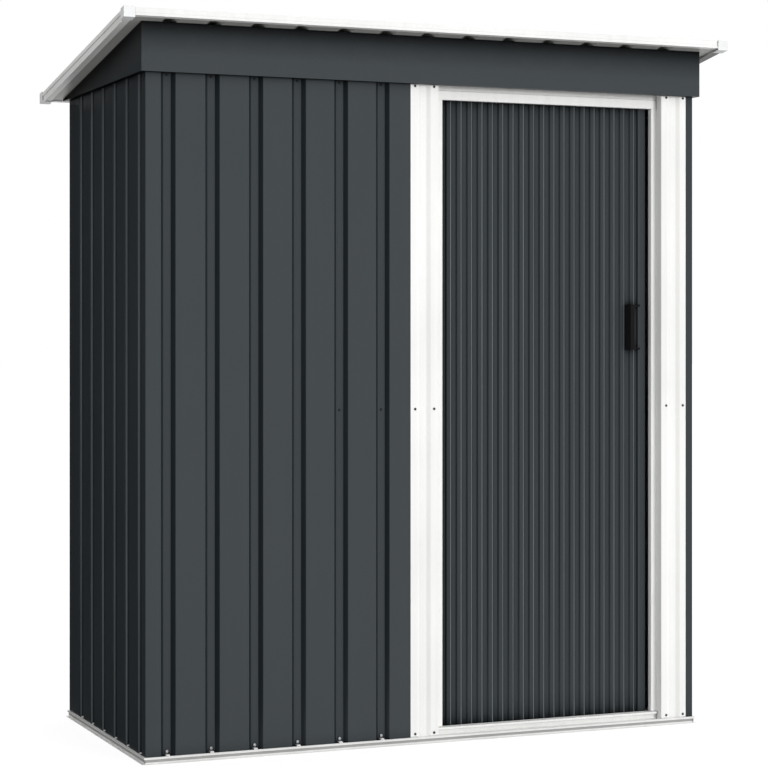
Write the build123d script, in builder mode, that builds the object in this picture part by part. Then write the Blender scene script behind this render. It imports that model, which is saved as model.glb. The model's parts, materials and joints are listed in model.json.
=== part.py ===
from build123d import *
import os

# Metal storage shed with a lean-to roof and one sliding door, in millimetres.
# The front faces -Y, the ground is Z = 0, and the origin lies under the centre of the roof.
# On each wall, "run" goes along the wall, "depth" goes inwards from its outer face.

# Main sizes
wall_width = 1500.0        # outer faces of the left and right walls
wall_depth = 724.0         # outer faces of the front and rear walls
wall_height = 1640.0       # from the base rail up to the fascia
base_height = 17.0
fascia_height = 119.0
fascia_reach = 14.0        # the fascia and the gables stand this far out from the walls
side_overhang = 71.0
front_overhang = 62.0
rear_overhang = 45.0
rear_fascia_height = 5.1   # what is left of the fascia where the roof comes down

# Sheet steel
sheet = 1.0
bend_radius = 2.5
seat_gap = 0.2             # between pieces that are screwed together
overrun = 6.0              # how far a cut passes the piece that it cuts

# Grooves rolled into the wall sheets, and the same form standing up on the roof
groove_mouth = 37.0
groove_floor = 19.0
groove_depth = 12.0
front_pitch = 111.4
front_first = 56.5         # first groove from the corner
side_pitch = 109.5
side_first = 51.0
roof_pitch = 112.3
roof_first = 55.0          # first rib of the roof from the left wall

# Base rails
rail_sheet = 1.5
rail_toe = 7.0
rail_hem = 5.0             # height of the edge that is folded over along the top
rail_hem_reach = 3.0
rail_flange = 45.0
front_flange = 78.0        # wider, because it carries the door's track
anchor_radius = 4.5
anchor_inset = 27.0
anchor_corner = 122.0      # from the front and the rear wall face

# Doorway
front_wall_run = 689.0     # dark sheet from the left corner to the left jamb
left_jamb_face = 77.0
right_jamb_face = 74.0
jamb_edge = 18.0           # flat of a jamb outside its groove
jamb_groove_depth = 6.0
corner_leg = 20.0          # dark strip at the right corner
corner_side_leg = 26.0
left_strip = 22.0          # set-back strips that frame the door
right_strip = 16.0
reveal = 25.0              # from the wall face back to those strips
strip_return = 15.0
header_drop = 33.0         # lower edge of the header, under the fascia
header_lip = 22.0
header_step = 2.0
sill_top = 33.0
sill_lip = 5.0
sill_front = 17.0
sill_face = 24.0
sill_back = 40.0

# Inner frame
post_leg = 28.0
post_sheet = 1.2
brace_depth = 16.0
brace_height = 40.0
brace_level = 841.0
top_rail_depth = 25.0
top_rail_height = 40.0
wall_lap = 3.0             # the walls reach up behind the fascia
fascia_flange = 20.0
gable_flange = 10.0
beam_width = 30.0
beam_height = 40.0

# Door and its tracks
track_sheet = 1.2
lower_track_height = 15.0
upper_track_height = 36.0
track_room = 6.0           # between the door and each side of a track
door_thickness = 21.0
door_lap = 13.0            # the closed door reaches behind the left strip
door_edge_gap = 7.0        # dark gap at the door's right edge
door_bottom = 28.0
door_head_lap = 24.0       # the door reaches up behind the header
door_rib_pitch = 29.45
door_rib_flat = 11.3
door_rib_slope = 3.4
door_rib_depth = 3.2
stile_width = 22.0
door_rail_height = 30.0
glide_length = 60.0
glide_inset = 70.0
glide_gap = 0.3
glide_rise = 20.0
glide_chamfer = 4.0

# Pull handle: a moulded hook that leans towards the door's right edge
handle_inset = 61.3        # left edge of the handle from the right edge of the door
handle_width = 45.0
handle_height = 118.0
handle_level = 1048.0
handle_plate = 3.0
handle_reach = 22.0
handle_flare = 14.0        # height of the end walls at the lip of the grip
handle_tip = 4.0           # and at the door
grip_root_share = 0.12
grip_lean_shares = (0.23, 0.40, 0.19)
grip_rise_shares = (0.66, 0.86, 0.84)
handle_fillet = 1.2

# Roof edge trims and their corner caps
trim_drop = 5.0            # below the underside of the roof sheet
trim_rise = 16.8           # above it
end_trim_rise = 18.0
trim_top_flange = 22.0
trim_foot = 22.0
end_trim_foot = 14.0
trim_step = 1.5
trim_band = 5.0            # band that stands out along an edge, front and rear
side_band = 9.8            # and along the sides
edge_gap = 0.5
cap_wall = 1.5
cap_gap = 0.3
cap_length = 28.0

# Places worked out from the sizes above
left_x = -wall_width / 2
right_x = wall_width / 2
roof_half = wall_width / 2 + side_overhang
roof_rear_y = (front_overhang + wall_depth + rear_overhang) / 2
roof_front_y = -roof_rear_y
front_y = roof_front_y + front_overhang
rear_y = front_y + wall_depth
middle_y = (front_y + rear_y) / 2
fascia_bottom = base_height + wall_height
wall_top = fascia_bottom + wall_lap
behind_groove = groove_depth + sheet
left_return = front_wall_run + left_jamb_face
right_edge = wall_width - corner_leg
right_return = right_edge - right_jamb_face
opening_left = left_return + left_strip
opening_right = right_return - right_strip
header_bottom = fascia_bottom - header_drop
top_rail_end = behind_groove + top_rail_depth
track_front = top_rail_end
door_top = header_bottom + door_head_lap
door_face = track_front + track_sheet + track_room
door_back = door_face + door_thickness
door_left = opening_left - door_lap
door_right = opening_right - door_edge_gap
brace_end = behind_groove + brace_depth
trim_x = roof_half - cap_wall - cap_gap
trim_front_y = roof_front_y + cap_wall + cap_gap
trim_rear_y = roof_rear_y - cap_wall - cap_gap
roof_edge_x = trim_x - trim_step - sheet - edge_gap
sheet_front_y = trim_front_y + trim_step + sheet + edge_gap
sheet_rear_y = trim_rear_y - trim_step - sheet - edge_gap
roof_fall_share = (fascia_height - rear_fascia_height) / (wall_depth + 2 * fascia_reach)
down_slope = Vector(0, 1, -roof_fall_share)


def pan_z(y):
    """Height of the underside of the roof sheet."""
    return fascia_bottom + fascia_height - (y - front_y + fascia_reach) * roof_fall_share


def keep(piece, label):
    piece.part.label = label
    export_step(piece.part, f"parts/{label}.step")


# For each wall: the corner where its run starts, the way it runs, and the way inwards
corners = {
    "front": (left_x, front_y),
    "right": (right_x, front_y),
    "rear": (right_x, rear_y),
    "left": (left_x, rear_y),
}
runs = {"front": (1, 0, 0), "right": (0, 1, 0), "rear": (-1, 0, 0), "left": (0, -1, 0)}
inwards = {"front": (0, 1, 0), "right": (-1, 0, 0), "rear": (0, -1, 0), "left": (1, 0, 0)}


def plan_plane(side, z):
    """Plane seen from above, with x along the run and y inwards."""
    return Plane(origin=(*corners[side], z), x_dir=runs[side], z_dir=(0, 0, 1))


def section_plane(side, start):
    """Upright plane across the run, with x inwards and y upwards."""
    corner = Vector(*corners[side], 0)
    return Plane(origin=corner + Vector(*runs[side]) * start, x_dir=inwards[side], z_dir=runs[side])


def grooved_points(start, end, centres):
    """Corners of a grooved sheet seen from above."""
    points = [(start, 0)]
    for centre in centres:
        points.append((centre - groove_mouth / 2, 0))
        points.append((centre - groove_floor / 2, groove_depth))
        points.append((centre + groove_floor / 2, groove_depth))
        points.append((centre + groove_mouth / 2, 0))
    points.append((end, 0))
    return points


def grooved_wall(label, side, start, end, centres):
    """One wall sheet, standing on the base rail."""
    with BuildPart() as wall:
        with BuildSketch(plan_plane(side, rail_sheet)):
            with BuildLine():
                FilletPolyline(*grooved_points(start, end, centres), radius=bend_radius)
                offset(amount=sheet, side=Side.LEFT)
            make_face()
        extrude(amount=wall_top - rail_sheet)
    keep(wall, label)


def folded_rail(label, side, spans, points, thickness, hand):
    """A folded strip with one section, along one or more spans of a wall."""
    with BuildPart() as rail:
        for start, end in spans:
            with BuildSketch(section_plane(side, start)):
                with BuildLine():
                    Polyline(*points)
                    offset(amount=thickness, side=hand)
                make_face()
            extrude(amount=end - start)
    keep(rail, label)


def channel_points(depth_from, depth_to, low, high):
    """Section of a channel whose web is on the wall side and which opens inwards."""
    return [(depth_to, high), (depth_from, high), (depth_from, low), (depth_to, low)]


# Base rails: a hemmed web outside the wall, a toe on the ground and a flange that the wall stands on
def base_rail(label, side, web_start, web_end, flange, flange_start, flange_end, anchors):
    with BuildPart() as rail:
        with BuildSketch(section_plane(side, web_start)):
            with BuildLine():
                Polyline(
                    (-rail_sheet - rail_toe, 0),
                    (0, 0),
                    (0, base_height),
                    (-rail_sheet - rail_hem_reach, base_height),
                    (-rail_sheet - rail_hem_reach, base_height - rail_hem),
                    (-rail_sheet, base_height - rail_hem),
                    (-rail_sheet, rail_sheet),
                    (-rail_sheet - rail_toe, rail_sheet),
                    close=True,
                )
            make_face()
        extrude(amount=web_end - web_start)
        with BuildSketch(plan_plane(side, 0)):
            with Locations(((flange_start + flange_end) / 2, flange / 2)):
                Rectangle(flange_end - flange_start, flange)
            with Locations(*[(place, anchor_inset) for place in anchors]):
                Circle(anchor_radius, mode=Mode.SUBTRACT)
        extrude(amount=rail_sheet)
    keep(rail, label)


# Grooves and ribs repeat at their pitch for as long as there is room
def pattern(first, pitch, last):
    count = int((last - first) // pitch) + 1
    return [first + pitch * index for index in range(count)]


# Jambs: a white grooved face, a step back into the doorway and a strip facing the front
def door_jamb(label, points, hand, notch_from, notch_to):
    with BuildPart() as jamb:
        with BuildSketch(plan_plane("front", rail_sheet)):
            with BuildLine():
                FilletPolyline(*points, radius=bend_radius)
                offset(amount=sheet, side=hand)
            make_face()
        extrude(amount=wall_top - rail_sheet)
        # Room for the sill below and the header above
        for low, high in ((0, sill_top + seat_gap), (header_bottom - seat_gap, wall_top + overrun)):
            with BuildSketch(plan_plane("front", low)):
                with Locations(((notch_from + notch_to) / 2, reveal + strip_return / 2)):
                    Rectangle(abs(notch_to - notch_from), strip_return + overrun + overrun)
            extrude(amount=high - low, mode=Mode.SUBTRACT)
    keep(jamb, label)


def jamb_points(edge, returned, strip_edge, centre, way):
    """Corners of a jamb from its outer edge to the doorway; way is 1 towards +X, -1 towards -X."""
    return [
        (edge, 0),
        (centre - way * groove_mouth / 2, 0),
        (centre - way * groove_floor / 2, jamb_groove_depth),
        (centre + way * groove_floor / 2, jamb_groove_depth),
        (centre + way * groove_mouth / 2, 0),
        (returned, 0),
        (returned, reveal),
        (strip_edge, reveal),
        (strip_edge, reveal + strip_return),
    ]


# Gables: an upright sheet under the roof edge, a foot against the wall and a flange under the roof
def gable(label, way):
    outer_x = way * (wall_width / 2 + fascia_reach)
    inner_x = outer_x - way * sheet
    wall_x = way * wall_width / 2
    front_end = front_y - fascia_reach + sheet + seat_gap
    rear_end = rear_y + fascia_reach - sheet - seat_gap
    flange_front = front_y + fascia_flange + seat_gap
    flange_rear = rear_y - gable_flange - seat_gap
    under = seat_gap + sheet
    with BuildPart() as end:
        with BuildSketch(Plane.YZ.offset(min(outer_x, inner_x))):
            with BuildLine():
                Polyline(
                    (front_end, fascia_bottom),
                    (rear_end, fascia_bottom),
                    (rear_end, pan_z(rear_end) - seat_gap),
                    (front_end, pan_z(front_end) - seat_gap),
                    close=True,
                )
            make_face()
        extrude(amount=sheet)
        with BuildSketch(Plane.YZ.offset(min(wall_x, inner_x))):
            with BuildLine():
                Polyline(
                    (front_y + seat_gap, fascia_bottom),
                    (rear_y - seat_gap, fascia_bottom),
                    (rear_y - seat_gap, fascia_bottom + sheet),
                    (front_y + seat_gap, fascia_bottom + sheet),
                    close=True,
                )
            make_face()
        extrude(amount=abs(inner_x - wall_x))
        with BuildSketch(Plane.YZ.offset(min(inner_x, inner_x - way * gable_flange))):
            with BuildLine():
                Polyline(
                    (flange_front, pan_z(flange_front) - under),
                    (flange_rear, pan_z(flange_rear) - under),
                    (flange_rear, pan_z(flange_rear) - seat_gap),
                    (flange_front, pan_z(flange_front) - seat_gap),
                    close=True,
                )
            make_face()
        extrude(amount=gable_flange)
    keep(end, label)


# Fascias: front and rear boards of the same section as each other, but of different height
def fascia(label, side, face_y, flange, flange_y):
    points = [
        (0, fascia_bottom),
        (-fascia_reach, fascia_bottom),
        (-fascia_reach, pan_z(face_y) - seat_gap),
        (flange, pan_z(flange_y) - seat_gap),
    ]
    end_clear = sheet + seat_gap
    full_run = wall_width + 2 * fascia_reach
    with BuildPart() as board:
        with BuildSketch(section_plane(side, -fascia_reach)):
            with BuildLine():
                Polyline(*points)
                offset(amount=sheet, side=Side.RIGHT)
            make_face()
        extrude(amount=full_run)
        # The flanges stop short of the gables at both ends
        flange_root = sheet - fascia_reach
        flange_room = flange + overrun - flange_root
        flange_middle = flange_root + flange_room / 2
        with BuildSketch(plan_plane(side, fascia_bottom - overrun)):
            with Locations(
                (end_clear / 2 - fascia_reach, flange_middle),
                (wall_width + fascia_reach - end_clear / 2, flange_middle),
            ):
                Rectangle(end_clear, flange_room)
        extrude(amount=fascia_height + overrun + fascia_reach, mode=Mode.SUBTRACT)
    keep(board, label)


# Roof sheets and side trims run down the slope from an upright section at the front
def slope_plane(y):
    return Plane(origin=(0, y, pan_z(y)), x_dir=(1, 0, 0), z_dir=(0, -1, 0))


def slope_length(y_from, y_to):
    return (y_to - y_from) * down_slope.length


def roof_sheet(label, start, end, centres):
    points = [(left_x + x, z) for x, z in grooved_points(start, end, centres)]
    with BuildPart() as roof:
        with BuildSketch(slope_plane(sheet_front_y)):
            with BuildLine():
                Polyline(*points)
                offset(amount=sheet, kind=Kind.INTERSECTION, side=Side.LEFT)
            make_face()
        extrude(amount=slope_length(sheet_front_y, sheet_rear_y), dir=down_slope)
    keep(roof, label)


def side_trim(label, way):
    hand = Side.LEFT if way > 0 else Side.RIGHT
    points = [
        (trim_x - trim_step - trim_foot, -seat_gap),
        (trim_x - trim_step - trim_foot, -trim_drop),
        (trim_x - trim_step, -trim_drop),
        (trim_x - trim_step, trim_rise - side_band),
        (trim_x, trim_rise - side_band),
        (trim_x, trim_rise),
        (trim_x - trim_top_flange, trim_rise),
    ]
    with BuildPart() as trim:
        with BuildSketch(slope_plane(sheet_front_y)):
            with BuildLine():
                Polyline(*[(way * x, z) for x, z in points])
                offset(amount=sheet, side=hand)
            make_face()
        extrude(amount=slope_length(sheet_front_y, sheet_rear_y), dir=down_slope)
    keep(trim, label)


def end_trim(label, side, edge_depth, way):
    """Front or rear trim; way is 1 where depth grows with Y, -1 where it falls."""
    face_y = corners[side][1]
    half_run = trim_x - trim_step - trim_foot - seat_gap

    def at(depth, rise):
        return (depth, pan_z(face_y + way * depth) + rise)

    foot = -seat_gap - sheet
    face_depth = edge_depth + trim_step
    points = [
        at(edge_depth + end_trim_foot, foot),
        at(edge_depth, foot),
        at(edge_depth, foot + trim_band),
        at(face_depth, foot + trim_band + trim_step),
        at(face_depth, end_trim_rise),
        at(face_depth + trim_top_flange, end_trim_rise),
    ]
    span = (wall_width / 2 - half_run, wall_width / 2 + half_run)
    folded_rail(label, side, [span], points, sheet, Side.RIGHT)


def corner_caps(label):
    low = -trim_drop - cap_gap - cap_wall
    high = end_trim_rise + cap_gap + cap_wall
    cap_run = slope_length(0, cap_length)
    wall_run = slope_length(0, cap_wall)
    with BuildPart() as caps:
        for y_from, way in ((roof_front_y, 1), (roof_rear_y - cap_length, -1)):
            hollow_y = y_from + cap_wall if way > 0 else y_from
            with BuildSketch(slope_plane(y_from)):
                with Locations((-roof_half + cap_length / 2, (low + high) / 2)):
                    Rectangle(cap_length, high - low)
            extrude(amount=cap_run, dir=down_slope)
            with BuildSketch(slope_plane(hollow_y)):
                with Locations((-roof_half + cap_wall + cap_length / 2, (low + high) / 2)):
                    Rectangle(cap_length, high - low - 2 * cap_wall)
            extrude(amount=cap_run - wall_run, dir=down_slope, mode=Mode.SUBTRACT)
        mirror(about=Plane.YZ)
    keep(caps, label)


# The sliding door, made in its closed place
def ribbed_points():
    """Corners of the door sheet seen from above."""
    rib = 2 * door_rib_slope + door_rib_flat
    ribs = pattern(door_left + stile_width, door_rib_pitch, door_right - stile_width - rib)
    centring = (door_left + door_right - ribs[0] - ribs[-1] - rib) / 2
    inner = door_face + door_rib_depth
    points = [(door_left + sheet + seat_gap, inner)]
    for start in ribs:
        x = start + centring
        points.append((x, inner))
        points.append((x + door_rib_slope, door_face))
        points.append((x + door_rib_slope + door_rib_flat, door_face))
        points.append((x + rib, inner))
    points.append((door_right - sheet - seat_gap, inner))
    return points


def door_stile(label, edge, way, hand):
    flange_end = edge + way * stile_width
    with BuildPart() as stile:
        with BuildSketch(plan_plane("front", door_bottom)):
            with BuildLine():
                Polyline(
                    (flange_end, door_face),
                    (edge, door_face),
                    (edge, door_back),
                    (flange_end, door_back),
                )
                offset(amount=sheet, side=hand)
            make_face()
        extrude(amount=door_top - door_bottom)
    keep(stile, label)


def door_glides(label):
    middle = (door_face + door_back) / 2
    lower_seat = rail_sheet + track_sheet + glide_gap
    places = [(x, middle) for x in (door_left + glide_inset, door_right - glide_inset)]
    with BuildPart() as glides:
        for low, high in ((lower_seat, door_bottom), (door_top, door_top + glide_rise)):
            with BuildSketch(plan_plane("front", low)) as feet:
                with Locations(*places):
                    Rectangle(glide_length, door_thickness)
                chamfer(feet.vertices(), glide_chamfer)
            extrude(amount=high - low)
    keep(glides, label)


def door_handle(label):
    """Plate, leaning grip and two end walls; x runs to the right and y outwards from the door."""
    foot_x = door_right - handle_inset
    low = handle_level - handle_height / 2
    root = handle_width * grip_root_share
    lean = [handle_width * share for share in grip_lean_shares]
    rise = [handle_reach * share for share in grip_rise_shares]

    def place(z):
        origin = (left_x + foot_x, front_y + door_face, z)
        return Plane(origin=origin, x_dir=(1, 0, 0), z_dir=(0, 0, -1))

    with BuildPart() as handle:
        with BuildSketch(place(low + handle_height)) as hook:
            with BuildLine():
                Polyline(
                    (0, 0),
                    (handle_width, 0),
                    (handle_width, handle_plate),
                    (root, handle_plate),
                    (lean[0], rise[0]),
                    (lean[1], rise[1]),
                    (lean[1], handle_reach),
                    (lean[2], rise[2]),
                    (0, handle_plate),
                    close=True,
                )
            make_face()
            fillet(hook.vertices(), handle_fillet)
        extrude(amount=handle_height)
        for z in (low + handle_height, low + handle_flare):
            with BuildSketch(place(z)):
                with BuildLine():
                    Polyline(
                        (root, handle_plate),
                        (handle_width, handle_plate),
                        (lean[1], rise[1]),
                        (lean[0], rise[0]),
                        close=True,
                    )
                make_face()
            extrude(amount=handle_flare)
        # The mouth is open down to the door and widens to its edge, so the end walls taper to horns
        foot = (left_x + foot_x, front_y + door_face, handle_level)
        front = Plane(origin=foot, x_dir=(1, 0, 0), z_dir=(0, -1, 0))
        half_lip = handle_height / 2 - handle_flare
        half_tip = handle_height / 2 - handle_tip
        bow = (handle_width - lean[1], half_tip - half_lip)
        with BuildSketch(front.offset(-overrun)):
            with BuildLine():
                Polyline((lean[1], -half_lip), (lean[1], half_lip))
                EllipticalCenterArc((handle_width, half_lip), *bow, start_angle=90, arc_size=90)
                Polyline(
                    (handle_width, half_tip),
                    (handle_width + overrun, half_tip),
                    (handle_width + overrun, -half_tip),
                    (handle_width, -half_tip),
                )
                EllipticalCenterArc((handle_width, -half_lip), *bow, start_angle=180, arc_size=90)
            make_face()
        extrude(amount=handle_reach + overrun, mode=Mode.SUBTRACT)
    keep(handle, label)


os.makedirs("parts", exist_ok=True)

anchor_places = [anchor_corner, wall_depth - anchor_corner]
rail_reach = rail_sheet + rail_hem_reach
across = (-rail_reach, wall_depth + rail_reach)
base_rail("base_rail_front", "front", 0, wall_width, front_flange, 0, wall_width, [])
base_rail("base_rail_rear", "rear", 0, wall_width, rail_flange, 0, wall_width, [])
base_rail(
    "base_rail_left", "left", *across,
    rail_flange, rail_flange, wall_depth - front_flange, anchor_places,
)
base_rail(
    "base_rail_right", "right", *across,
    rail_flange, front_flange, wall_depth - rail_flange, anchor_places,
)

# Wall sheets
front_centres = pattern(front_first, front_pitch, front_wall_run - groove_mouth)
side_centres = pattern(side_first, side_pitch, wall_depth - post_leg - groove_mouth)
rear_pattern = pattern(front_first, front_pitch, wall_width - front_first)
rear_centring = (wall_width - rear_pattern[0] - rear_pattern[-1]) / 2
grooved_wall("front_wall", "front", 0, front_wall_run, front_centres)
grooved_wall("right_wall", "right", corner_side_leg, wall_depth - sheet, side_centres)
grooved_wall("rear_wall", "rear", 0, wall_width, [centre + rear_centring for centre in rear_pattern])
grooved_wall("left_wall", "left", sheet, wall_depth - sheet, [wall_depth - c for c in reversed(side_centres)])

# Dark strip that turns the front right corner
with BuildPart() as front_right_corner:
    with BuildSketch(plan_plane("front", rail_sheet)):
        with BuildLine():
            Polyline((right_edge, 0), (wall_width, 0), (wall_width, corner_side_leg))
            offset(amount=sheet, side=Side.LEFT)
        make_face()
    extrude(amount=wall_top - rail_sheet)
keep(front_right_corner, "front_right_corner")

# Angle posts inside the four corners
with BuildPart() as corner_posts:
    with BuildSketch(plan_plane("front", rail_sheet)):
        with BuildLine():
            Polyline((post_leg, sheet), (sheet, sheet), (sheet, post_leg))
            offset(amount=post_sheet, side=Side.RIGHT)
        make_face()
    extrude(amount=wall_top - rail_sheet)
    mirror(about=Plane.YZ)
    mirror(about=Plane.XZ.offset(-middle_y))
keep(corner_posts, "corner_posts")

left_centre = front_wall_run + jamb_edge + groove_mouth / 2
right_centre = right_edge - jamb_edge - groove_mouth / 2
door_jamb(
    "door_jamb_left",
    jamb_points(front_wall_run, left_return, opening_left, left_centre, 1),
    Side.LEFT,
    left_return,
    opening_left + overrun,
)
door_jamb(
    "door_jamb_right",
    jamb_points(right_edge, right_return, opening_right, right_centre, -1),
    Side.RIGHT,
    right_return,
    opening_right - overrun,
)

# Header and sill fill the doorway between the steps of the jambs
doorway = (left_return + seat_gap, right_return - seat_gap)
header_points = [
    (reveal + strip_return, header_bottom),
    (reveal, header_bottom),
    (reveal, header_bottom + header_lip),
    (reveal + header_step, header_bottom + header_lip),
    (reveal + header_step, wall_top),
]
folded_rail("door_header", "front", [doorway], header_points, sheet, Side.RIGHT)
sill_points = [
    (sill_back, sill_top),
    (sill_front, sill_top),
    (sill_front, sill_top - sill_lip),
    (sill_face, sill_top - sill_lip),
    (sill_face, rail_sheet),
]
folded_rail("door_sill", "front", [doorway], sill_points, sheet, Side.RIGHT)

# Tracks that the door runs in, behind the front wall from side to side
track_span = (top_rail_end, wall_width - top_rail_end)
track_back = door_back + track_room + track_sheet
lower_track_points = [
    (track_front, rail_sheet + lower_track_height),
    (track_front, rail_sheet),
    (track_back, rail_sheet),
    (track_back, rail_sheet + lower_track_height),
]
folded_rail("door_track_lower", "front", [track_span], lower_track_points, track_sheet, Side.LEFT)
upper_track_low = wall_top - upper_track_height / 2
upper_track_points = [
    (track_front, upper_track_low),
    (track_front, upper_track_low + upper_track_height),
    (track_back, upper_track_low + upper_track_height),
    (track_back, upper_track_low),
]
folded_rail("door_track_upper", "front", [track_span], upper_track_points, track_sheet, Side.RIGHT)

# Braces at half height and channels along the top, inside the wall sheets
left_stop = left_return - sheet - seat_gap
right_stop = right_return + sheet + seat_gap
brace_low = brace_level - brace_height / 2
brace = channel_points(behind_groove, brace_end, brace_low, brace_low + brace_height)
front_braces = [(brace_end, left_stop), (right_stop, wall_width - brace_end)]
side_span = [(behind_groove, wall_depth - behind_groove)]
folded_rail("front_brace", "front", front_braces, brace, sheet, Side.LEFT)
folded_rail("left_brace", "left", side_span, brace, sheet, Side.LEFT)
folded_rail("right_brace", "right", side_span, brace, sheet, Side.LEFT)
folded_rail("rear_brace", "rear", [(brace_end, wall_width - brace_end)], brace, sheet, Side.LEFT)

top_rail = channel_points(behind_groove, top_rail_end, wall_top - top_rail_height, wall_top)
front_rails = [(top_rail_end, left_stop), (right_stop, wall_width - top_rail_end)]
folded_rail("front_top_rail", "front", front_rails, top_rail, sheet, Side.LEFT)
folded_rail("left_top_rail", "left", side_span, top_rail, sheet, Side.LEFT)
folded_rail("right_top_rail", "right", side_span, top_rail, sheet, Side.LEFT)
rear_rail = [
    (top_rail_end, pan_z(rear_y - top_rail_end) - seat_gap),
    (behind_groove, pan_z(rear_y - behind_groove) - seat_gap),
    (behind_groove, wall_top - top_rail_height),
    (top_rail_end, wall_top - top_rail_height),
]
folded_rail("rear_top_rail", "rear", [(top_rail_end, wall_width - top_rail_end)], rear_rail, sheet, Side.LEFT)

fascia("front_fascia", "front", front_y - fascia_reach, fascia_flange, front_y + fascia_flange)
fascia("rear_fascia", "rear", rear_y + fascia_reach, gable_flange, rear_y - gable_flange)
gable("gable_left", -1)
gable("gable_right", 1)

# Beam under the roof sheets, from gable to gable
beam_top_gap = 2 * seat_gap + sheet
beam_end = sheet + seat_gap - fascia_reach
beam_front = wall_depth / 2 - beam_width / 2
beam_back = beam_front + beam_width
beam_low = pan_z(front_y + beam_back) - beam_top_gap - beam_height
beam_points = [
    (beam_back, pan_z(front_y + beam_back) - beam_top_gap),
    (beam_front, pan_z(front_y + beam_front) - beam_top_gap),
    (beam_front, beam_low),
    (beam_back, beam_low),
]
folded_rail("roof_beam", "front", [(beam_end, wall_width - beam_end)], beam_points, sheet, Side.LEFT)

# Three roof sheets side by side, of which the middle one takes the spare ribs
rib_places = pattern(roof_first, roof_pitch, wall_width - groove_mouth)
outer_ribs = len(rib_places) // 3
sheet_ribs = (outer_ribs, len(rib_places) - 2 * outer_ribs, outer_ribs)
sheet_names = ("roof_sheet_left", "roof_sheet_middle", "roof_sheet_right")
sheet_start = -roof_edge_x - left_x
first_rib = 0
for sheet_name, ribs in zip(sheet_names, sheet_ribs):
    last_rib = first_rib + ribs
    sheet_end = roof_edge_x - left_x
    if last_rib < len(rib_places):
        sheet_end = (rib_places[last_rib - 1] + rib_places[last_rib]) / 2
    roof_sheet(sheet_name, sheet_start, sheet_end - seat_gap, rib_places[first_rib:last_rib])
    sheet_start = sheet_end
    first_rib = last_rib

side_trim("roof_trim_left", -1)
side_trim("roof_trim_right", 1)
end_trim("roof_trim_front", "front", trim_front_y - front_y, 1)
end_trim("roof_trim_rear", "rear", rear_y - trim_rear_y, -1)
corner_caps("roof_corner_caps")

with BuildPart() as door_panel:
    with BuildSketch(plan_plane("front", door_bottom)):
        with BuildLine():
            Polyline(*ribbed_points())
            offset(amount=sheet, kind=Kind.INTERSECTION, side=Side.LEFT)
        make_face()
    extrude(amount=door_top - door_bottom)
keep(door_panel, "door_panel")

door_stile("door_stile_left", door_left, 1, Side.RIGHT)
door_stile("door_stile_right", door_right, -1, Side.LEFT)

# Channels across the back of the door, between its stiles
rail_front = door_face + door_rib_depth + sheet
rail_back = door_back - sheet
rail_span = [(door_left + sheet, door_right - sheet)]
bottom_channel = [
    (rail_front, door_bottom + door_rail_height),
    (rail_front, door_bottom),
    (rail_back, door_bottom),
    (rail_back, door_bottom + door_rail_height),
]
top_channel = [
    (rail_front, door_top - door_rail_height),
    (rail_front, door_top),
    (rail_back, door_top),
    (rail_back, door_top - door_rail_height),
]
middle_low = (door_bottom + door_top) / 2 - door_rail_height / 2
middle_channel = channel_points(rail_front, rail_back, middle_low, middle_low + door_rail_height)
folded_rail("door_bottom_rail", "front", rail_span, bottom_channel, sheet, Side.LEFT)
folded_rail("door_top_rail", "front", rail_span, top_channel, sheet, Side.RIGHT)
folded_rail("door_middle_rail", "front", rail_span, middle_channel, sheet, Side.LEFT)
door_glides("door_glides")
door_handle("door_handle")
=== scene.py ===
# %% [markdown]
# A small lean-to shed of painted sheet steel, with a white door frame, a white roof and a finely
# ribbed sliding door. The frame that loads here already holds every sheet, rail and trim at its
# real size, so this lesson only dresses it: a camera, plain studio light, a finish for every
# surface, and the screws that hold such a kit together. Everything is in metres.

import json
import math

import bpy
import numpy as np
from mathutils import Matrix, Vector


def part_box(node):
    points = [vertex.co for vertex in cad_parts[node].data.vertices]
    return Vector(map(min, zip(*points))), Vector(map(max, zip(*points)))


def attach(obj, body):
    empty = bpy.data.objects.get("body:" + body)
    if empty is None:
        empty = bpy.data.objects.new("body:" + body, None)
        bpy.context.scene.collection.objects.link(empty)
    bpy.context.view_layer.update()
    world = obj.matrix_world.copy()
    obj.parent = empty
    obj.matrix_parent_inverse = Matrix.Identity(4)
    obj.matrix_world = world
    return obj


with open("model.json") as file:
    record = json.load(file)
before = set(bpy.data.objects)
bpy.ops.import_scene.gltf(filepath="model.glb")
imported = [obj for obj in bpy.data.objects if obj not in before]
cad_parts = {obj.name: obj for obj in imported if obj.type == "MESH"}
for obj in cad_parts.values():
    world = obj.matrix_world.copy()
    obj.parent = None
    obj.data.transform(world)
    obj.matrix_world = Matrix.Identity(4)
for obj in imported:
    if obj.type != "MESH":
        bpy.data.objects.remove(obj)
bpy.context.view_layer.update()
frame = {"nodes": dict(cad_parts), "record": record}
nodes = frame["nodes"]
scene = bpy.context.scene
scene.view_settings.view_transform = "Standard"

# %% [markdown]
# The picture of the shed was taken with a long lens held level, a little to the left of the front:
# its uprights stay parallel, and only the level edges run together. A level camera with a vertical
# shift repeats that. A tilted camera would make the walls lean, so the shift is the better tool.

# %% Camera
picture_side = 768
focal_pixels = 2208.0
horizon_pixel = 334.0
film_width_mm = 36.0
far_limit = 200.0
camera_place = Vector((-2.2397, -5.4463, 1.0296))
camera_turn = math.radians(22.47)

camera_data = bpy.data.cameras.new("shed_camera")
camera_data.sensor_width = film_width_mm
camera_data.lens = film_width_mm * focal_pixels / picture_side
camera_data.shift_y = (horizon_pixel - picture_side / 2) / picture_side
camera_data.clip_end = far_limit
camera = bpy.data.objects.new("shed_camera", camera_data)
camera.location = camera_place
camera.rotation_euler = (math.radians(90), 0, -camera_turn)
scene.collection.objects.link(camera)
scene.camera = camera
print("lens", round(camera_data.lens, 1), "mm, shift", round(camera_data.shift_y, 4))

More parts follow.
